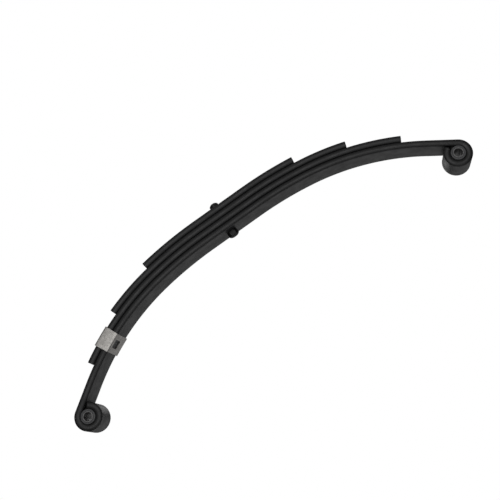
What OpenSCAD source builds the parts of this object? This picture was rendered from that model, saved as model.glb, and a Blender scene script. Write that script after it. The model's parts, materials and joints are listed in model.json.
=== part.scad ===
// Semi-elliptic leaf spring: four curved steel leaves held on one centre bolt, with an eye
// rolled up at each end of the main leaf, a bush and a sleeve in each eye, and one rebound
// clip that keeps the second leaf on the main leaf near the front end.
//
// The spring lies along X as it sits in a vehicle, arch hanging down and eyes turned up.
// +X is the end with the clip, Y runs across the leaves and along both eyes, +Z is up.
// The origin is on the centre bolt's axis, at the underside of the shortest leaf, where the
// axle seat bears. Leaf 1 is the main leaf, on top, and leaf 4 is the shortest.

/* [Leaves] */
// Distance between the two eye centres
eye_span = 660; // [600:5:800]
// Width of every leaf
leaf_w = 45; // [40:0.5:70]
// Thickness of every leaf
leaf_t = 10; // [7:0.1:12]
// Film of paint and grease between two leaves
leaf_gap = 0.3; // [0.1:0.1:0.6]
// Half-length of the second leaf, from the centre bolt along the main leaf's upper face
second_half = 284.5; // [230:0.5:290]
// Distance that each end of the third leaf stops short of the second's
third_step = 77; // [72:0.5:110]
// Distance that each end of the fourth leaf stops short of the third's
fourth_step = 76; // [50:0.5:100]

/* [Camber] */
// Length of the flat in the middle, where the axle is clamped
seat_l = 90; // [60:1:120]
// Radius of the main leaf's upper face beside the flat
shoulder_r = 580; // [400:5:900]
// Angle that each shoulder arc turns through
shoulder_deg = 9; // [6:0.1:12]
// Radius of the main leaf's upper face further out
bend_r = 384; // [330:1:450]
// Length of the straight tail that runs into each eye
tail_l = 45; // [30:1:60]

/* [Eyes] */
// Gap between the rolled tip of the main leaf and its tail
tip_gap = 1.3; // [0.5:0.1:5]
// Depth that reaming takes off the inside of a rolled eye
ream = 0.05; // [0.03:0.01:0.2]
// Outside diameter of the bushes
bush_d = 22.2; // [18:0.1:30]
// Radial clearance between a bush and its eye
bush_fit = 0.05; // [0.02:0.01:0.1]
// Bevel at the ends of the bushes
bush_bevel = 0.8; // [0.2:0.1:1.5]

/* [Sleeves] */
// Outside diameter of the sleeves inside the bushes
sleeve_d = 16; // [14.5:0.1:18]
// Bore of the sleeves, for the eye bolts
sleeve_bore = 12.8; // [8:0.1:14]
// How far each end of a sleeve stands out of the eye
sleeve_proud = 0.4; // [0.1:0.1:2]
// Radial running clearance of a sleeve in its bush
sleeve_fit = 0.05; // [0.02:0.01:0.1]

/* [Centre bolt] */
// Shank diameter
bolt_d = 9.5; // [6:0.1:12]
// Radial clearance of the bolt in the leaves
bolt_clear = 0.3; // [0.1:0.1:1]
// Distance of the bolt from the middle of the span, towards the clip
bolt_offset = 5; // [0:0.5:20]
// Diameter of the round head, which locates the axle seat
head_d = 14.3; // [13:0.1:20]
// Height of the round head, its dome included
head_h = 12.5; // [6:0.5:14]
// Height of the domed end of the head
dome_h = 3; // [1:0.5:4]
// How far the bolt's end stands out of the nut
bolt_proud = 0.5; // [0:0.1:4]

/* [Centre nut] */
// Width of the hexagon across its flats
nut_af = 14.3; // [14:0.1:19]
// Height of the nut
nut_h = 8.3; // [5:0.1:12]
// Height of the bevel round the nut's free end
nut_bevel = 1; // [0.3:0.1:2]
// How much narrower than the flats the round face at the nut's free end is
nut_ease = 0.6; // [0.2:0.1:2]
// Radial clearance of the nut's bore over the bolt, which stands for the threads
thread_fit = 0.05; // [0.02:0.01:0.1]

/* [Rebound clip] */
// Distance from the second leaf's front tip back to the middle of the clip
clip_back = 40.5; // [35:0.5:60]
// Width of the strap, along the leaves
clip_w = 30; // [20:1:40]
// Thickness of the strap
clip_t = 1.5; // [1:0.1:3]
// Clearance between the strap and the leaves
clip_gap = 0.3; // [0.2:0.1:1]
// Radius inside the strap's four corners
corner_r = 0.5; // [0.1:0.1:1]
// Gap between the strap's two ends, under the second leaf
clip_split = 3; // [1:0.5:10]
// Length of the window in the strap, along the leaves
window_l = 13; // [6:0.5:18]
// Width of the window, across the leaves
window_w = 21; // [8:0.5:28]
// Distance from the near edge of the leaf to the window
window_in = 4; // [3.5:0.5:10]

/* [Hidden] */
$fn = 96;
arc_fn = 240;                                       // finer, for the clip's large radius
facet = 7;                                          // longest flat along a leaf's curve
roll_step = 5;                                      // angle of each flat round an eye
cut = 1;                                            // how far cuts run past the faces they open
leaves = 4;
pitch = leaf_t + leaf_gap;                          // from one leaf's upper face to the next
stack_h = leaves * pitch - leaf_gap;
mid_x = -bolt_offset;                               // middle of the span
third_half = second_half - third_step;
fourth_half = third_half - fourth_step;
steel_black = [0.07, 0.07, 0.075];
// Eyes: the bore, and the inside and outside of the leaf as it is rolled, before reaming
eye_r = bush_d / 2 + bush_fit;
roll_in = eye_r - ream;
roll_out = roll_in + leaf_t;
eye_wrap = 360 - acos((roll_in - tip_gap) / roll_out);
sleeve_l = leaf_w + 2 * sleeve_proud;
// Centres of the arcs of one half, measured from the middle of the span
seat_half = seat_l / 2;
shoulder_c = [seat_half, stack_h + shoulder_r];
bend_c = shoulder_c + (shoulder_r - bend_r) * [sin(shoulder_deg), -cos(shoulder_deg)];
// The outer arc turns until its tail brings the eye under the end of the span
eye_arm = [bend_r - roll_in, tail_l];
tail_deg = asin((eye_span / 2 - bend_c[0]) / norm(eye_arm)) - atan2(eye_arm[1], eye_arm[0]);
bend_deg = tail_deg - shoulder_deg;
eye_c = bend_c + eye_arm[0] * across(tail_deg) + eye_arm[1] * along(tail_deg);
// Distances along the main leaf's upper face, from the middle, at which each stretch ends
shoulder_end = seat_half + arc_len(shoulder_r, shoulder_deg);
bend_end = shoulder_end + arc_len(bend_r, bend_deg);
tail_end = bend_end + tail_l;

function arc_len(r, deg) = r * deg * PI / 180;
function arc_deg(r, len) = len / r * 180 / PI;
// Unit vectors along a leaf that climbs at the angle deg, and square to it, away from the arch
function along(deg) = [cos(deg), sin(deg)];
function across(deg) = [sin(deg), -cos(deg)];

// Angle that the leaves climb at, at the distance s from the middle of the span
function climb(s) =
    arc_deg(shoulder_r, min(shoulder_end, max(seat_half, s)) - seat_half)
    + arc_deg(bend_r, min(bend_end, max(shoulder_end, s)) - shoulder_end);
// Point of the main leaf's upper face at the distance s
function face(s) =
    s <= seat_half ? [s, stack_h]
    : s <= shoulder_end ? shoulder_c + shoulder_r * across(climb(s))
    : s <= bend_end ? bend_c + bend_r * across(climb(s))
    : bend_c + bend_r * across(tail_deg) + (s - bend_end) * along(tail_deg);
// Distances between a and b, evenly spaced and b included, none further apart than a facet
function spaced(a, b) =
    let (n = ceil((b - a) / facet)) [for (i = [1:1:n]) a + (b - a) * i / n];
// Distances of the points on a leaf that runs from the middle to s
function stations(s) = concat(
    [0, seat_half], spaced(seat_half, min(s, shoulder_end)),
    spaced(shoulder_end, min(s, bend_end)), s > bend_end ? [s] : []
);
// Points round an eye at the radius r, from the tail to the leaf's rolled tip
function roll(r) =
    let (n = ceil(eye_wrap / roll_step))
    [for (i = [1:1:n]) eye_c + r * across(tail_deg + eye_wrap * i / n)];
function reversed(list) = [for (i = [len(list) - 1:-1:0]) list[i]];
// Outline of half a leaf, from the middle out along its upper face and back along its lower
function half_outline(depth, s, inner = [], outer = []) = concat(
    [for (a = stations(s)) face(a) + depth * across(climb(a))], inner,
    reversed(outer), [for (a = reversed(stations(s))) face(a) + (depth + leaf_t) * across(climb(a))]
);

// A leaf that reaches front and rear from the middle of the span: its side view extruded
// across, with the hole for the centre bolt. Children are cut out of the side view.
module leaf(front, rear) {
    color(steel_black) difference() {
        rotate([90, 0, 0]) linear_extrude(leaf_w, center = true) translate([mid_x, 0])
            difference() {
                polygon(concat(front, [for (p = reversed(rear)) [-p[0], p[1]]]));
                children();
            }
        translate([0, 0, -cut]) cylinder(d = bolt_d + 2 * bolt_clear, h = stack_h + 2 * cut);
    }
}

// The main leaf, rolled up round both bushes and reamed
module main_leaf() {
    half = half_outline(0, tail_end, roll(roll_in), roll(roll_out));
    leaf(half, half)
        for (side = [-1, 1]) translate([side * eye_c[0], eye_c[1]]) circle(r = eye_r);
}

// A plain leaf below the main leaf, with the half-length len on each side of the centre bolt
module plain_leaf(depth, len) {
    leaf(half_outline(depth, len + bolt_offset), half_outline(depth, len - bolt_offset));
}

module second_leaf() plain_leaf(pitch, second_half);
module third_leaf() plain_leaf(2 * pitch, third_half);
module fourth_leaf() plain_leaf(3 * pitch, fourth_half);

// Round head below the leaves, shank up through them and the nut
module centre_bolt() {
    shank_top = stack_h + nut_h + bolt_proud;
    dome_r = (pow(head_d / 2, 2) + dome_h * dome_h) / (2 * dome_h);
    color([0.1, 0.1, 0.1]) {
        cylinder(d = bolt_d, h = shank_top);
        translate([0, 0, -head_h + dome_h]) cylinder(d = head_d, h = head_h - dome_h);
        intersection() {
            translate([0, 0, -head_h + dome_r]) sphere(r = dome_r);
            translate([0, 0, -head_h - cut]) cylinder(d = head_d, h = dome_h + cut);
        }
    }
}

// Hexagon nut on the main leaf, bevelled round its free end
module centre_nut() {
    across_corners = nut_af / cos(30);
    color([0.1, 0.1, 0.1]) translate([0, 0, stack_h]) difference() {
        intersection() {
            cylinder(d = across_corners, h = nut_h, $fn = 6);
            union() {
                cylinder(d = across_corners + cut, h = nut_h - nut_bevel);
                translate([0, 0, nut_h - nut_bevel])
                    cylinder(d1 = across_corners + cut, d2 = nut_af - nut_ease, h = nut_bevel);
            }
        }
        translate([0, 0, -cut]) cylinder(d = bolt_d + 2 * thread_fit, h = nut_h + 2 * cut);
    }
}

// Sweeps its 2D child round an axis along Y at c = [x, z], from the angle start, where 0 hangs
// straight down and positive angles climb towards +X. The child's x is the radius, and its y
// points to the near side, -Y.
module arc(c, start, turn) {
    translate([c[0], 0, c[1]]) rotate([90, 0, 0]) rotate([0, 0, start - 90])
        rotate_extrude(angle = turn, $fn = arc_fn) children();
}

// Outline of the strap, seen along the leaves: a rounded tube round the main and second leaves
module strap_tube(grow) {
    r = corner_r + grow;
    deep = pitch + leaf_t + 2 * grow;
    wide = leaf_w + 2 * grow;
    translate([-grow, 0]) {
        for (side = [-1, 1], x = [r, deep - r])
            translate([x, side * (wide / 2 - r)]) circle(r = r);
        translate([0, -wide / 2 + r]) square([deep, wide - 2 * r]);
        translate([r, -wide / 2]) square([deep - 2 * r, wide]);
    }
}

// A strap bent round two leaves, with a window on top and its ends meeting underneath
module rebound_clip() {
    at = climb(second_half + bolt_offset - clip_back);
    turn = arc_deg(bend_r, clip_w);
    window_turn = arc_deg(bend_r, window_l);
    color([0.72, 0.7, 0.67]) translate([mid_x, 0, 0]) difference() {
        arc(bend_c, at - turn / 2, turn) translate([bend_r, 0]) difference() {
            strap_tube(clip_gap + clip_t);
            strap_tube(clip_gap);
            translate([leaf_t + pitch, -clip_split / 2])
                square([clip_gap + clip_t + cut, clip_split]);
        }
        arc(bend_c, at - window_turn / 2, window_turn)
            translate([bend_r - clip_gap - clip_t - cut, leaf_w / 2 - window_in - window_w])
                square([clip_t + cut + clip_gap / 2, window_w]);
    }
}

// A tube along Y with its middle at the origin and a bevel at each end
module cross_tube(d, bore, len, bevel) {
    rotate([90, 0, 0]) rotate_extrude() translate([0, -len / 2])
        polygon([
            [bore / 2, 0], [d / 2 - bevel, 0], [d / 2, bevel], [d / 2, len - bevel],
            [d / 2 - bevel, len], [bore / 2, len]
        ]);
}

// Puts its child at an eye: side 1 is the front eye, side -1 the rear eye
module at_eye(side) {
    translate([mid_x + side * eye_c[0], 0, eye_c[1]]) children();
}

// A bush fills the eye from one side of the leaf to the other
module bush(side) {
    color([0.2, 0.2, 0.21]) at_eye(side)
        cross_tube(bush_d, sleeve_d + 2 * sleeve_fit, leaf_w, bush_bevel);
}

// A steel sleeve turns in the bush and takes the eye bolt
module sleeve(side) {
    color([0.25, 0.25, 0.26]) at_eye(side)
        cross_tube(sleeve_d, sleeve_bore, sleeve_l, sleeve_proud / 2);
}

module front_bush() bush(1);
module rear_bush() bush(-1);
module front_sleeve() sleeve(1);
module rear_sleeve() sleeve(-1);

main_leaf();
second_leaf();
third_leaf();
fourth_leaf();
centre_bolt();
centre_nut();
rebound_clip();
front_bush();
rear_bush();
front_sleeve();
rear_sleeve();
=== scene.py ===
import json
import math

import bpy
import numpy as np
from mathutils import Matrix, Vector


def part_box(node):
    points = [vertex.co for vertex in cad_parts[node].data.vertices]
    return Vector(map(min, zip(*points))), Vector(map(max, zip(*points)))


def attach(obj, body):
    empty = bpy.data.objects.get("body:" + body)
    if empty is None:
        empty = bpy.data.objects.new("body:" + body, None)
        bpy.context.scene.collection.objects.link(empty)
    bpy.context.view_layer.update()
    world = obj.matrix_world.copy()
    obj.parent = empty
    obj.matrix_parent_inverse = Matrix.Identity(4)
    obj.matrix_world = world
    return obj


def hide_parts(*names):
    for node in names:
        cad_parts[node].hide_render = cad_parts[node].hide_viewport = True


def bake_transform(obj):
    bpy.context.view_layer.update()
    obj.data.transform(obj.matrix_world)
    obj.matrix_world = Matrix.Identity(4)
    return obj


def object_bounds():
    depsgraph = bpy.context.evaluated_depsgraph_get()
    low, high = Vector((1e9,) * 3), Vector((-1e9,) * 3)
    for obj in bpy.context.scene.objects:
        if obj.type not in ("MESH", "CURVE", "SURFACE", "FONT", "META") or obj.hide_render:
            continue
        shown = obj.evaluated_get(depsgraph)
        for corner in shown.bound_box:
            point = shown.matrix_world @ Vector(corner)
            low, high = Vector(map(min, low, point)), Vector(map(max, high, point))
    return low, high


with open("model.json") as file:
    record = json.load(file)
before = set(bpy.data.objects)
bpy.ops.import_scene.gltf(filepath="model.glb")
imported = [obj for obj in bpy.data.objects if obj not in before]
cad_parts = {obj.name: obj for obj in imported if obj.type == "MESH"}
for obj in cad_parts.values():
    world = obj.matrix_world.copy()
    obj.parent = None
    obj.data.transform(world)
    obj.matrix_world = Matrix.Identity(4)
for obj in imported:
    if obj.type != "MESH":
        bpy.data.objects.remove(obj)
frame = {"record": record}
cad_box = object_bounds()

# ---- Main leaf -----------------------------------------------------------------------------
# The top leaf of the spring: spring-steel flat bar with rolled round edges, bent to the arch
# while hot, with each end rolled up round a mandrel into an eye and reamed. It is dipped in
# satin black paint. It is drawn as two halves, which meet under the centre nut.

MOUNTS = {m["name"]: m for m in frame["record"]["mounts"]}
LEAF_LOW, LEAF_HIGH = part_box("main_leaf")
BUSH_LOW, BUSH_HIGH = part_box("front_bush")
FRONT_EYE = MOUNTS["front_eye"]["pos_m"]
REAR_EYE = MOUNTS["rear_eye"]["pos_m"]
STACK_TOP = MOUNTS["plate_seat"]["pos_m"][2]

REAM = 0.00005              # what the reamer takes off the inside of a rolled eye
BUSH_FIT = 0.00005          # clearance of a bush in its eye
LEAF_FILM = 0.0003          # paint and grease between two leaves
SEAT_HALF = 0.045           # half of the flat under the axle's clamp
SHOULDER_RADIUS = 0.580     # of the arc beside the flat
SHOULDER_TURN = math.radians(9)
BEND_RADIUS = 0.384         # of the arc further out
TAIL = 0.045                # straight run into an eye
TIP_GAP = 0.0013            # from the rolled tip to the tail
EDGE_ROUND = 0.0026         # how far in from its sides the bar starts to round off
CORNER_EASE = 0.0006        # the cut ends' rounding
CREASE = math.radians(40)   # edges that turn by more than this are drawn sharp

LEAF_WIDTH = LEAF_HIGH.y - LEAF_LOW.y
MIDDLE = (FRONT_EYE[0] + REAR_EYE[0]) / 2
ROLL_OUT = LEAF_HIGH.x - FRONT_EYE[0]
ROLL_IN = (BUSH_HIGH.x - BUSH_LOW.x) / 2 + BUSH_FIT - REAM
THICKNESS = ROLL_OUT - ROLL_IN
PITCH = THICKNESS + LEAF_FILM
EYE_X = FRONT_EYE[0] - MIDDLE
SHOULDER_CENTRE = np.array([SEAT_HALF, STACK_TOP + SHOULDER_RADIUS])
BEND_CENTRE = SHOULDER_CENTRE + (SHOULDER_RADIUS - BEND_RADIUS) * np.array(
    [math.sin(SHOULDER_TURN), -math.cos(SHOULDER_TURN)])
TAIL_TURN = (math.asin((EYE_X - BEND_CENTRE[0]) / math.hypot(BEND_RADIUS - ROLL_IN, TAIL))
             - math.atan2(TAIL, BEND_RADIUS - ROLL_IN))
ROLL_TURN = 2 * math.pi - math.acos((ROLL_IN - TIP_GAP) / ROLL_OUT)
SHOULDER_END = SEAT_HALF + SHOULDER_RADIUS * SHOULDER_TURN
BEND_END = SHOULDER_END + BEND_RADIUS * (TAIL_TURN - SHOULDER_TURN)
TAIL_END = BEND_END + TAIL


def climb(s):
    """Slope of the leaves at the distance s from mid-span: zero on the flat, then the length
    run on each arc divided by that arc's radius, then constant."""
    shoulder = np.clip(s - SEAT_HALF, 0, SHOULDER_END - SEAT_HALF) / SHOULDER_RADIUS
    bend = np.clip(s - SHOULDER_END, 0, BEND_END - SHOULDER_END) / BEND_RADIUS
    return shoulder + bend


def face_point(s):
    """Point (x, z) of the main leaf's upper face at s: s itself on the flat, then the arc's
    centre plus its radius times (sin, -cos) of the slope, plus the run along the tail."""
    out = np.stack([np.sin(climb(s)), -np.cos(climb(s))], -1)
    ahead = np.array([math.cos(TAIL_TURN), math.sin(TAIL_TURN)])
    flat = np.stack([s, np.full_like(s, STACK_TOP)], -1)
    shoulder = SHOULDER_CENTRE + SHOULDER_RADIUS * out
    bend = BEND_CENTRE + BEND_RADIUS * out + np.clip(s - BEND_END, 0, None)[:, None] * ahead
    stretch = np.where(s <= SEAT_HALF, 0, np.where(s <= SHOULDER_END, 1, 2))[:, None]
    return np.choose(stretch, [flat, shoulder, bend])


def bar_path(depth, length, rolled):
    """Middle line of half a leaf, the direction square to it and the distance along it. The
    face is moved down by the depth and half a thickness, and a rolled leaf goes on round the
    eye, as the eye's centre plus the roll's mean radius times (sin, -cos) of the angle."""
    s = np.concatenate([np.linspace(0, SEAT_HALF, 10, endpoint=False),
                        np.linspace(SEAT_HALF, length, 150)])
    down = np.stack([np.sin(climb(s)), -np.cos(climb(s))], -1)
    line = face_point(s) + (depth + THICKNESS / 2) * down
    if rolled:
        angle = TAIL_TURN + np.linspace(0, ROLL_TURN, 109)[1:]
        out = np.stack([np.sin(angle), -np.cos(angle)], -1)
        mean_radius = (ROLL_IN + ROLL_OUT) / 2
        line = np.concatenate([line, np.array([EYE_X, FRONT_EYE[2]]) + mean_radius * out])
        down = np.concatenate([down, out])
        s = np.concatenate([s, length + mean_radius * (angle - TAIL_TURN)])
    return line, down, s


def bar_section():
    """Outline of the flat bar as rows (across, through), going round from the +Y edge: flats
    joined by half ellipses, where across = half width - round * (1 - cos a) and through =
    half thickness * sin a, for a from -90 to 90 degrees."""
    a = np.linspace(-math.pi / 2, math.pi / 2, 17)
    edge = np.stack([LEAF_WIDTH / 2 - EDGE_ROUND * (1 - np.cos(a)),
                     np.sin(a) * THICKNESS / 2], -1)
    flat = np.linspace(1, -1, 15)[1:-1] * (LEAF_WIDTH / 2 - EDGE_ROUND)
    top = np.stack([flat, np.full_like(flat, THICKNESS / 2)], -1)
    return np.concatenate([edge, top, edge[::-1] * [-1, 1], top[::-1] * [1, -1]])


def closed_tube(name, rings):
    """A closed mesh through the rings, an array (ring, point, xyz): quads between neighbours,
    and at each end a fan to the ring's mean point."""
    count, around = rings.shape[:2]
    i, j = np.meshgrid(np.arange(count - 1), np.arange(around), indexing="ij")
    k = (j + 1) % around
    quads = np.stack([i * around + j, (i + 1) * around + j, (i + 1) * around + k,
                      i * around + k], -1).reshape(-1, 4)
    points = np.concatenate([rings.reshape(-1, 3), rings[[0, -1]].mean(1)])
    p = np.arange(around)
    q = (p + 1) % around
    last = (count - 1) * around
    start = np.stack([p, q, np.full(around, len(points) - 2)], -1)
    end = np.stack([last + q, last + p, np.full(around, len(points) - 1)], -1)
    mesh = bpy.data.meshes.new(name)
    mesh.from_pydata(points.tolist(), [], quads.tolist() + start.tolist() + end.tolist())
    mesh.shade_smooth()
    mesh.set_sharp_from_angle(angle=CREASE)
    obj = bpy.data.objects.new(name, mesh)
    bpy.context.scene.collection.objects.link(obj)
    return obj


def half_leaf(name, depth, length, side, rolled=False):
    """Half a leaf: the bar's section carried along its path and turned square to it, running
    out along X on the side given. The last rings draw in by 1 - sqrt(1 - e * e) of the corner
    easing, for e from 0 to 0.95. Point attributes hold the distances along and round the bar."""
    line, down, s = bar_path(depth, length, rolled)
    ease = np.array([0.0, 0.6, 0.95])
    ahead = np.array([-down[-1, 1], down[-1, 0]])
    line = np.concatenate([line[:-1], line[-1] - CORNER_EASE * (1 - ease)[:, None] * ahead])
    down = np.concatenate([down[:-1], np.repeat(down[-1:], 3, 0)])
    s = np.concatenate([s[:-1], np.full(3, s[-1])])
    draw_in = np.zeros(len(line))
    draw_in[-3:] = CORNER_EASE * (1 - np.sqrt(1 - ease ** 2))
    section = bar_section()
    half = np.array([LEAF_WIDTH, THICKNESS]) / 2
    shaped = section * (1 - draw_in[:, None, None] / half)
    plane = line[:, None] - shaped[..., 1:] * down[:, None]
    rings = np.stack([MIDDLE + side * plane[..., 0], shaped[..., 0], plane[..., 1]], -1)
    girth = np.concatenate([[0], np.cumsum(np.linalg.norm(np.diff(section, axis=0), axis=1))])
    marks = np.stack(np.broadcast_arrays(s[:, None], girth[None]), -1)
    turned = slice(None, None, -side)
    obj = closed_tube(name, rings[:, turned])
    marks = np.concatenate([marks[:, turned].reshape(-1, 2), [[0, 0], [s[-1], 0]]])
    for column, key in enumerate(("along", "girth")):
        attribute = obj.data.attributes.new(key, "FLOAT", "POINT")
        attribute.data.foreach_set("value", marks[:, column].astype(np.float32))
    return obj


def link(tree, source, target):
    """Joins an output socket to an input socket."""
    tree.links.new(source, target)


def node(tree, kind, **inputs):
    """Adds a shader node, sets its named inputs, and joins those given as output sockets."""
    made = tree.nodes.new(kind)
    for key, value in inputs.items():
        socket = made.inputs[key.replace("_", " ")]
        if isinstance(value, bpy.types.NodeSocket):
            link(tree, value, socket)
        else:
            socket.default_value = value
    return made


def shader(name):
    """A new node material with its tree, its Principled shader and the Object coordinates."""
    made = bpy.data.materials.new(name)
    made.use_nodes = True
    tree = made.node_tree
    place = node(tree, "ShaderNodeTexCoord").outputs["Object"]
    return made, tree, tree.nodes["Principled BSDF"], place


def ramp(tree, source, stops):
    """A colour ramp of (place, colour) stops, whose colours may be grey levels."""
    made = node(tree, "ShaderNodeValToRGB", Fac=source)
    elements = made.color_ramp.elements
    while len(elements) < len(stops):
        elements.new(0.5)
    for element, (place, colour) in zip(elements, stops):
        element.position = place
        colour = colour if isinstance(colour, tuple) else (colour,) * 3
        element.color = (*colour, 1)
    return made.outputs["Color"]


def noise(tree, place, scale, detail=3.0, roughness=0.55):
    """A noise pattern, its scale in lumps per metre."""
    return node(tree, "ShaderNodeTexNoise", Vector=place, Scale=scale, Detail=detail,
                Roughness=roughness).outputs["Fac"]


def bump(tree, height, distance, strength, before=None):
    """A bump of the given height in metres, laid over an earlier one."""
    made = node(tree, "ShaderNodeBump", Height=height, Distance=distance, Strength=strength)
    if before is not None:
        link(tree, before, made.inputs["Normal"])
    return made.outputs["Normal"]


def mixed(tree, share, first, second):
    """Two colours mixed by the share of the second."""
    made = tree.nodes.new("ShaderNodeMix")
    made.data_type = "RGBA"
    for socket, value in ((made.inputs[0], share), (made.inputs[6], first),
                          (made.inputs[7], second)):
        if isinstance(value, bpy.types.NodeSocket):
            link(tree, value, socket)
        else:
            socket.default_value = (*value, 1) if isinstance(value, tuple) else value
    return made.outputs[2]


def satin_black_paint():
    """Dipped paint over hot-rolled bar: nearly black, thin at scuffs, with the mill's scale
    and the bar's lengthwise roll marks showing through as low bumps."""
    made, tree, surface, place = shader("satin_black_paint")
    scuffs = ramp(tree, noise(tree, place, 42, 6.0, 0.68), ((0.62, 0.0), (0.74, 0.75)))
    cloud = ramp(tree, noise(tree, place, 9, 3.0), ((0.3, (0.0095, 0.0096, 0.0102)),
                                                    (0.72, (0.0165, 0.0166, 0.0172))))
    tint = mixed(tree, scuffs, cloud, (0.028, 0.0275, 0.027))
    along, girth = (tree.nodes.new("ShaderNodeAttribute") for _ in range(2))
    along.attribute_name, girth.attribute_name = "along", "girth"
    lengthwise = node(tree, "ShaderNodeCombineXYZ", X=along.outputs["Fac"], Y=girth.outputs["Fac"])
    stretched = node(tree, "ShaderNodeMapping", Vector=lengthwise.outputs[0], Scale=(0.04, 1, 1))
    marks = noise(tree, stretched.outputs[0], 420, 4.0, 0.6)
    link(tree, tint, surface.inputs["Base Color"])
    link(tree, ramp(tree, noise(tree, place, 65, 4.0), ((0.3, 0.40), (0.7, 0.56))),
         surface.inputs["Roughness"])
    surface.inputs["Specular IOR Level"].default_value = 0.5
    surface.inputs["Coat Weight"].default_value = 0.15
    surface.inputs["Coat Roughness"].default_value = 0.35
    normal = bump(tree, marks, 0.00006, 0.5)
    normal = bump(tree, noise(tree, place, 750, 3.0), 0.00005, 0.45, normal)
    normal = bump(tree, noise(tree, place, 120, 3.0), 0.00016, 0.35, normal)
    link(tree, normal, surface.inputs["Normal"])
    return made


leaf_paint = satin_black_paint()


def add_leaf(node_name, depth, front, rear, rolled=False):
    """A painted leaf as a front and a rear half, each bending between the clamped middle and
    its own end of the spring."""
    for side, length, end in ((1, front, "front"), (-1, rear, "rear")):
        half = half_leaf(f"{node_name}_{end}", depth, length, side, rolled)
        half.data.materials.append(leaf_paint)
        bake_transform(half)
        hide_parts(node_name)


add_leaf("main_leaf", 0, TAIL_END, TAIL_END, rolled=True)

# ---- Shorter leaves ------------------------------------------------------------------------
# Three plain leaves of the same bar and the same bend lie under the main leaf, each shorter
# than the one above, with their ends sheared square. The clamp and the bolt hold them.


def reach(node_name, side, depth):
    """How far from mid-span a leaf's end lies along the main leaf's upper face, found from
    the CAD box, where the lower corner of that end is the outermost point."""
    low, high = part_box(node_name)
    edge = side * ((high.x if side > 0 else low.x) - MIDDLE)
    s = np.linspace(SEAT_HALF, BEND_END, 20001)
    down = np.stack([np.sin(climb(s)), -np.cos(climb(s))], -1)
    corner = (face_point(s) + (depth + THICKNESS) * down)[:, 0]
    return float(np.interp(edge, corner, s))


for rank, node_name in enumerate(("second_leaf", "third_leaf", "fourth_leaf"), 1):
    depth = rank * PITCH
    add_leaf(node_name, depth, reach(node_name, 1, depth), reach(node_name, -1, depth))

# ---- Centre bolt and nut -------------------------------------------------------------------
# A steel bolt runs up through all four leaves. Its round domed head stands out below and
# drops into the axle seat, and a hexagon nut pulls the leaves together from above. Both went
# through the same black paint as the leaves, after the nut was run up tight.

BOLT_LOW, BOLT_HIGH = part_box("centre_bolt")
NUT_LOW, NUT_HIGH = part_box("centre_nut")
HEAD_RADIUS = (BOLT_HIGH.x - BOLT_LOW.x) / 2
HEAD_EASE = 0.0003          # the broken edges of the head's rim
DOME = 0.003
POLE_GAP = 0.02             # angle from a dome's pole to its first ring
SHANK_RADIUS = 0.00475
THREAD_START = 0.012        # below the leaves' upper face
THREAD_DEPTH = 0.00045
THREAD_PITCH = 0.0016
POINT_CHAMFER = 0.0007
NUT_FLATS = NUT_HIGH.y - NUT_LOW.y
NUT_BORE = SHANK_RADIUS + 0.00005
NUT_CORNER = NUT_FLATS / 2 / math.cos(math.radians(30))
NUT_CHAMFER = 0.0011
CHAMFER_SPREAD = 1.6        # how far in the top chamfer runs, as a share of its height
BORE_CHAMFERS = 0.0006, 0.0004      # at the top and the bottom of the nut's bore
RING_CREASE = math.radians(35)


def closed_loop(name, rings):
    """A closed mesh through the rings, an array (ring, point, xyz), that joins its last ring
    to its first: quads between neighbours, both ways round."""
    count, around = rings.shape[:2]
    i, j = np.meshgrid(np.arange(count), np.arange(around), indexing="ij")
    m, k = (i + 1) % count, (j + 1) % around
    quads = np.stack([i * around + j, m * around + j, m * around + k, i * around + k], -1)
    mesh = bpy.data.meshes.new(name)
    mesh.from_pydata(rings.reshape(-1, 3).tolist(), [], quads.reshape(-1, 4).tolist())
    mesh.shade_smooth()
    mesh.set_sharp_from_angle(angle=RING_CREASE)
    obj = bpy.data.objects.new(name, mesh)
    bpy.context.scene.collection.objects.link(obj)
    return obj


def turned(profile, steps=96):
    """Rings of a part turned about +Z, from a profile of (radius, height) rows: each ring is
    radius * (cos a, sin a) at its height."""
    a = np.linspace(0, 2 * math.pi, steps, endpoint=False)
    radius, height = np.asarray(profile, float).T
    return np.stack([radius[:, None] * np.cos(a), radius[:, None] * np.sin(a),
                     height[:, None] * np.ones(steps)], -1)


def dome_profile(radius, rise, low, steps=14):
    """Half outline of a dome from near its pole at low up to its rim: on the sphere through
    both, with the height low + ball * (1 - cos a)."""
    ball = (radius ** 2 + rise ** 2) / (2 * rise)
    a = np.linspace(POLE_GAP, math.asin(radius / ball), steps)
    return np.stack([ball * np.sin(a), low + ball * (1 - np.cos(a))], -1)


def threaded(low, high):
    """Half outline of a thread shown as grooves: the shank's radius less a depth that rises
    and falls once a pitch as half of 1 - cos."""
    height = np.arange(low, high, THREAD_PITCH / 8)
    groove = THREAD_DEPTH * (0.5 - 0.5 * np.cos(2 * math.pi * (height - low) / THREAD_PITCH))
    return np.stack([SHANK_RADIUS - groove, height], -1)


bolt = closed_tube("centre_bolt_painted", turned(np.concatenate([
    dome_profile(HEAD_RADIUS - HEAD_EASE, DOME, BOLT_LOW.z),
    [[HEAD_RADIUS, BOLT_LOW.z + DOME + HEAD_EASE], [HEAD_RADIUS, -HEAD_EASE],
     [HEAD_RADIUS - HEAD_EASE, 0], [SHANK_RADIUS, 0]],
    threaded(STACK_TOP - THREAD_START, BOLT_HIGH.z - POINT_CHAMFER - THREAD_PITCH / 2),
    [[SHANK_RADIUS - THREAD_DEPTH, BOLT_HIGH.z - POINT_CHAMFER * 0.6],
     [SHANK_RADIUS - THREAD_DEPTH - POINT_CHAMFER, BOLT_HIGH.z]]]))[::-1])

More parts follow.
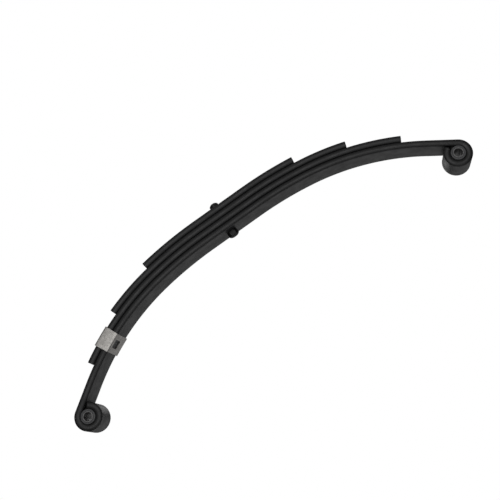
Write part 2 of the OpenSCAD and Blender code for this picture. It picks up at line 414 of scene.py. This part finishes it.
# The nut is turned as a round blank out to its corners. Each point that lies outside the
# hexagon then moves in to it: half the width across the flats, divided by the cosine of the
# point's angle from the middle of its flat.
mouth, foot = BORE_CHAMFERS
nut_rings = turned([
    [NUT_CORNER - NUT_CHAMFER * 0.5, NUT_LOW.z], [NUT_CORNER, NUT_LOW.z + NUT_CHAMFER * 0.3],
    [NUT_CORNER, NUT_HIGH.z - NUT_CHAMFER],
    *[[NUT_CORNER - NUT_CHAMFER * t * CHAMFER_SPREAD, NUT_HIGH.z - NUT_CHAMFER * (1 - t)]
      for t in (0.2, 0.4, 0.6, 0.8, 1.0)],
    [NUT_BORE + mouth, NUT_HIGH.z], [NUT_BORE, NUT_HIGH.z - mouth],
    [NUT_BORE, NUT_LOW.z + foot], [NUT_BORE + foot, NUT_LOW.z]], 144)
ring_angle = np.arctan2(nut_rings[..., 1], nut_rings[..., 0])
from_flat = (ring_angle + math.radians(60)) % math.radians(60) - math.radians(30)
flat_radius = NUT_FLATS / 2 / np.cos(from_flat)
ring_radius = np.hypot(nut_rings[..., 0], nut_rings[..., 1])
nut_rings[..., :2] *= (np.minimum(ring_radius, flat_radius) / ring_radius)[..., None]
nut = closed_loop("centre_nut_painted", nut_rings[::-1])


def painted_hardware():
    """The leaves' paint on a bolt and nut, rubbed through in patches by the spanner, where a
    brownish black phosphate shows."""
    made, tree, surface, place = shader("painted_hardware")
    rubbed = ramp(tree, noise(tree, place, 260, 5.0, 0.7), ((0.50, 0.0), (0.68, 0.8)))
    link(tree, mixed(tree, rubbed, (0.011, 0.011, 0.0115), (0.040, 0.037, 0.034)),
         surface.inputs["Base Color"])
    link(tree, ramp(tree, noise(tree, place, 180, 4.0), ((0.3, 0.32), (0.7, 0.52))),
         surface.inputs["Roughness"])
    surface.inputs["Metallic"].default_value = 0.25
    normal = bump(tree, noise(tree, place, 900, 4.0), 0.00006, 0.5)
    link(tree, normal, surface.inputs["Normal"])
    return made


hardware_paint = painted_hardware()
for piece, node_name in ((bolt, "centre_bolt"), (nut, "centre_nut")):
    piece.data.materials.append(hardware_paint)
    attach(piece, "leaf_pack")
    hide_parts(node_name)

# ---- Rebound clip --------------------------------------------------------------------------
# A bright zinc-plated strip, punched with one window and folded round the main and second
# leaves, so that its two ends meet underneath. It keeps the leaves together on rebound, and
# it bends with the stretch of leaf that it grips.

STRAP = 0.0015
STRAP_GAP = 0.0003
STRAP_LENGTH = 0.030
STRAP_SPLIT = 0.003
STRAP_CORNER = 0.0021       # of the strap's middle surface
STRAP_EASE = 0.00022        # the strip's broken edges
WINDOW_LENGTH = 0.013
WINDOW_WIDTH = 0.021
WINDOW_INSET = 0.004
CLIP_BACK = 0.0405          # from the second leaf's tip back to the clip's middle

strap_side = LEAF_WIDTH / 2 + STRAP_GAP + STRAP / 2
strap_top = -(STRAP_GAP + STRAP / 2)
strap_bottom = PITCH + THICKNESS + STRAP_GAP + STRAP / 2
clip_middle = reach("second_leaf", 1, PITCH) - CLIP_BACK


def strap_outline():
    """Middle line of the strip seen along the leaves, as rows (across, below the main leaf's
    face). Half of it, from the top's edge round to the split, is quarter circles joined by
    straights. The other half mirrors it, and the window's two sides lie between them."""
    quarter = np.linspace(0, math.pi / 2, 9)
    side, low = strap_side - STRAP_CORNER, strap_bottom - STRAP_CORNER
    high = strap_top + STRAP_CORNER
    over = np.stack([side + STRAP_CORNER * np.sin(quarter),
                     high - STRAP_CORNER * np.cos(quarter)], -1)
    under = np.stack([side + STRAP_CORNER * np.cos(quarter),
                      low + STRAP_CORNER * np.sin(quarter)], -1)
    half = np.concatenate([over, under, [[STRAP_SPLIT / 2, strap_bottom]]])
    near = -LEAF_WIDTH / 2 + WINDOW_INSET
    top = [[near, strap_top], [near + WINDOW_WIDTH, strap_top]]
    return np.concatenate([(half * [-1, 1])[::-1], top, half])


# The middle surface is that line at four places along the leaves, the strip's two ends and the
# window's: each is the bend's centre plus its radius times (sin, -cos) of the slope there.
outline = strap_outline()
along_clip = np.array([-STRAP_LENGTH, -WINDOW_LENGTH, WINDOW_LENGTH, STRAP_LENGTH]) / 2
strap_slope = float(climb(np.array(clip_middle))) + along_clip / BEND_RADIUS
strap_radius = BEND_RADIUS + outline[:, 1]
strap_points = np.stack(np.broadcast_arrays(
    MIDDLE + BEND_CENTRE[0] + strap_radius * np.sin(strap_slope)[:, None], outline[:, 0],
    BEND_CENTRE[1] - strap_radius * np.cos(strap_slope)[:, None]), -1)
i, j = np.meshgrid(np.arange(3), np.arange(len(outline) - 1), indexing="ij")
strap_quads = (np.stack([i, i + 1, i + 1, i], -1) * len(outline)
               + np.stack([j, j, j + 1, j + 1], -1))
window_column = (len(outline) - 2) // 2
strap_quads = strap_quads[(i != 1) | (j != window_column)]
strap_mesh = bpy.data.meshes.new("rebound_clip_strip")
strap_mesh.from_pydata(strap_points.reshape(-1, 3).tolist(), [], strap_quads.tolist())
strap_mesh.shade_smooth()
clip = bpy.data.objects.new("rebound_clip_strip", strap_mesh)
bpy.context.scene.collection.objects.link(clip)
wall = clip.modifiers.new("wall", "SOLIDIFY")
wall.thickness, wall.offset, wall.use_even_offset = STRAP, 0, True
edges = clip.modifiers.new("edges", "BEVEL")
edges.width, edges.segments, edges.angle_limit = STRAP_EASE, 2, CREASE
edges.harden_normals = True
folded = clip.evaluated_get(bpy.context.evaluated_depsgraph_get())
clip.data = bpy.data.meshes.new_from_object(folded)
clip.modifiers.clear()


def bright_zinc():
    """Zinc-plated strip: light warm grey metal, dulled in clouds by handling, with fine
    lines across the leaves from the rolling of the strip."""
    made, tree, surface, place = shader("bright_zinc")
    dulled = ramp(tree, noise(tree, place, 130, 5.0, 0.6), ((0.3, (0.52, 0.505, 0.48)),
                                                           (0.75, (0.39, 0.375, 0.355))))
    link(tree, dulled, surface.inputs["Base Color"])
    surface.inputs["Metallic"].default_value = 0.9
    link(tree, ramp(tree, noise(tree, place, 210, 4.0), ((0.3, 0.34), (0.7, 0.50))),
         surface.inputs["Roughness"])
    drawn = node(tree, "ShaderNodeMapping", Vector=place, Scale=(9, 0.15, 9))
    normal = bump(tree, noise(tree, drawn.outputs[0], 900, 3.0), 0.00002, 0.35)
    normal = bump(tree, noise(tree, place, 500, 3.0), 0.00004, 0.3, normal)
    link(tree, normal, surface.inputs["Normal"])
    return made


clip.data.materials.append(bright_zinc())
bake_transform(clip)
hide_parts("rebound_clip")

# ---- Bushes and sleeves --------------------------------------------------------------------
# A dark grey nylon bush is pressed into each eye, flush with the leaf's sides. A phosphated
# steel sleeve inside it takes the eye bolt, and the bush turns on it as the spring flexes.

SLEEVE_LOW, SLEEVE_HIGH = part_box("front_sleeve")
SLEEVE_RADIUS = (SLEEVE_HIGH.x - SLEEVE_LOW.x) / 2
SLEEVE_BORE = MOUNTS["front_eye"]["dims"]["r_mm"] / 1000
SLEEVE_CLEARANCE = 0.00005
BUSH_BEVEL = 0.0009
SLEEVE_BEVEL = 0.0004
MOUTH_BEVEL = 0.5           # a tube's bevel at its bore, as a share of the one outside
EASED = np.array([[0, 1], [0.12, 0.6], [0.42, 0.22], [1, 0]])   # a bevel's (inward, down)


def tube_about_y(name, inner, outer, low, high, bevel, eye):
    """A tube along Y round an eye: a closed profile of (radius, across) rows, with its edges
    cut by eased bevels, turned about the eye's axis."""
    cut = bevel * EASED
    rim = np.array([outer, high]) - cut
    bore = np.array([inner, high]) + cut[::-1] * [MOUTH_BEVEL, -MOUTH_BEVEL]
    top = np.concatenate([rim, bore])
    bottom = top[::-1] * [1, -1] + [0, low + high]
    rings = turned(np.concatenate([bottom, top]))
    placed = np.stack([rings[..., 0] + eye[0], rings[..., 2], rings[..., 1] + eye[2]], -1)
    return closed_loop(name, placed)


def moulded_nylon():
    """Moulded nylon: dark grey, slightly waxy, with a fine spark-eroded grain and a greasy
    cloud or two."""
    made, tree, surface, place = shader("moulded_nylon")
    link(tree, ramp(tree, noise(tree, place, 160, 4.0), ((0.3, (0.085, 0.086, 0.089)),
                                                         (0.7, (0.120, 0.121, 0.124)))),
         surface.inputs["Base Color"])
    link(tree, ramp(tree, noise(tree, place, 240, 3.0), ((0.3, 0.42), (0.7, 0.6))),
         surface.inputs["Roughness"])
    normal = bump(tree, noise(tree, place, 2600, 2.0), 0.00002, 0.4)
    link(tree, normal, surface.inputs["Normal"])
    return made


def phosphated_steel():
    """Phosphated tube: dark grey steel with crystals a fraction of a millimetre across."""
    made, tree, surface, place = shader("phosphated_steel")
    crystals = node(tree, "ShaderNodeTexVoronoi", Vector=place, Scale=3200.0)
    link(tree, ramp(tree, crystals.outputs["Distance"], ((0.1, (0.150, 0.150, 0.153)),
                                                         (0.8, (0.240, 0.238, 0.236)))),
         surface.inputs["Base Color"])
    surface.inputs["Metallic"].default_value = 0.6
    link(tree, ramp(tree, noise(tree, place, 300, 3.0), ((0.3, 0.38), (0.7, 0.55))),
         surface.inputs["Roughness"])
    normal = bump(tree, crystals.outputs["Distance"], 0.00001, 0.35)
    link(tree, normal, surface.inputs["Normal"])
    return made


nylon, phosphate = moulded_nylon(), phosphated_steel()
for end, eye in (("front", FRONT_EYE), ("rear", REAR_EYE)):
    bush = tube_about_y(f"{end}_bush_moulded", SLEEVE_RADIUS + SLEEVE_CLEARANCE,
                        (BUSH_HIGH.x - BUSH_LOW.x) / 2, BUSH_LOW.y, BUSH_HIGH.y, BUSH_BEVEL, eye)
    sleeve = tube_about_y(f"{end}_sleeve_turned", SLEEVE_BORE, SLEEVE_RADIUS,
                          SLEEVE_LOW.y, SLEEVE_HIGH.y, SLEEVE_BEVEL, eye)
    for piece, material, slot, body, node_name in (
            (bush, nylon, "bush", f"{end}_end", f"{end}_bush"),
            (sleeve, phosphate, "sleeve", f"{end}_sleeve", f"{end}_sleeve")):
        piece.data.materials.append(material)
        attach(piece, body)
        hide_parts(node_name)

# ---- Floor, light and camera ---------------------------------------------------------------
# A pale floor well below the spring, so that no shadow of it shows, and white all round. Two
# low softboxes, one on each side, light the leaves' sides, and three higher ones light their
# upper faces. The camera is above the near side, rolled over so that the arch stands up.

FLOOR_DROP = 0.6
FLOOR_SIZE = 60.0
SEEN_WHITE = 1.0            # what the camera sees of the floor and the studio
WORLD_LIGHT = 0.06          # what lights the spring from all round
LIGHT_AIM = np.array([0, 0, 0.06])  # the middle of the spring
floor_mesh = bpy.data.meshes.new("floor")
corners = np.array([[-1, -1, 0], [1, -1, 0], [1, 1, 0], [-1, 1, 0]]) * FLOOR_SIZE / 2
floor_mesh.from_pydata((corners + [0, 0, cad_box[0].z - FLOOR_DROP]).tolist(), [], [[0, 1, 2, 3]])
floor = bpy.data.objects.new("floor", floor_mesh)
bpy.context.scene.collection.objects.link(floor)


def lit_or_seen(tree, lit, output):
    """What the camera sees directly is plain white, and everything else meets the lit shader."""
    seen = node(tree, "ShaderNodeEmission", Color=(1, 1, 1, 1), Strength=SEEN_WHITE)
    choice = node(tree, "ShaderNodeMixShader",
                  Fac=node(tree, "ShaderNodeLightPath").outputs["Is Camera Ray"])
    link(tree, lit, choice.inputs[1])
    link(tree, seen.outputs[0], choice.inputs[2])
    link(tree, choice.outputs[0], output)


pale_floor, tree, surface, place = shader("pale_floor")
surface.inputs["Base Color"].default_value = (0.75, 0.75, 0.75, 1)
surface.inputs["Roughness"].default_value = 0.9
lit_or_seen(tree, surface.outputs[0], tree.nodes["Material Output"].inputs["Surface"])
floor_mesh.materials.append(pale_floor)

world = bpy.data.worlds.new("studio")
bpy.context.scene.world = world
world.use_nodes = True
background = world.node_tree.nodes["Background"]
background.inputs["Color"].default_value = (1, 1, 1, 1)
background.inputs["Strength"].default_value = WORLD_LIGHT
lit_or_seen(world.node_tree, background.outputs[0],
            world.node_tree.nodes["World Output"].inputs["Surface"])
bpy.context.scene.view_settings.view_transform = "Standard"


def softbox(name, place, width, height, radiance):
    """A rectangular studio light facing the middle of the spring. Its power is its radiance
    times pi times its area."""
    light = bpy.data.lights.new(name, "AREA")
    light.shape, light.size, light.size_y = "RECTANGLE", width, height
    light.energy = radiance * math.pi * width * height
    lamp = bpy.data.objects.new(name, light)
    aim = LIGHT_AIM - np.array(place)
    lamp.location = place
    lamp.rotation_mode = "QUATERNION"
    lamp.rotation_quaternion = Vector(aim.tolist()).to_track_quat("-Z", "Y")
    lamp.visible_camera = False
    bpy.context.scene.collection.objects.link(lamp)


softbox("front_softbox", (0.0, -2.0, -0.15), 2.0, 0.7, 2.1)
softbox("front_fill", (0.0, -1.9, 1.0), 1.6, 0.8, 0.7)
softbox("back_softbox", (0.0, 2.6, 1.1), 4.0, 1.4, 0.33)
softbox("back_low_softbox", (0.0, 2.2, -0.3), 1.4, 0.6, 1.0)
softbox("top_softbox", (0.0, 0.5, 2.2), 2.0, 1.8, 0.6)

CAMERA_PLACE = (0.02544, -1.26529, 0.45461)
CAMERA_TILT = 0.28662        # below the horizon, looking along +Y
CAMERA_ROLL = -2.51653       # about its own line of sight
CAMERA_YAW = -0.02456
LENS = 63.50
SENSOR = 36.0


def camera_axes():
    """The camera's right, up and backward directions as columns: looking along +Y, tilted
    down, rolled about the line of sight, and turned about the vertical."""
    forward = np.array([0, math.cos(CAMERA_TILT), -math.sin(CAMERA_TILT)])
    level = np.array([1.0, 0, 0])
    down = np.cross(forward, level)
    c, s = math.cos(CAMERA_ROLL), math.sin(CAMERA_ROLL)
    right, below = c * level + s * down, c * down - s * level
    cy, sy = math.cos(CAMERA_YAW), math.sin(CAMERA_YAW)
    yaw = np.array([[cy, sy, 0], [-sy, cy, 0], [0, 0, 1]])
    return np.stack([yaw @ right, -(yaw @ below), -(yaw @ forward)], -1)


camera_data = bpy.data.cameras.new("camera")
camera_data.lens, camera_data.sensor_width = LENS, SENSOR
camera = bpy.data.objects.new("camera", camera_data)
camera.rotation_mode = "QUATERNION"
camera.location = CAMERA_PLACE
camera.rotation_quaternion = Matrix(camera_axes().tolist()).to_quaternion()
bpy.context.scene.collection.objects.link(camera)
bpy.context.scene.camera = camera
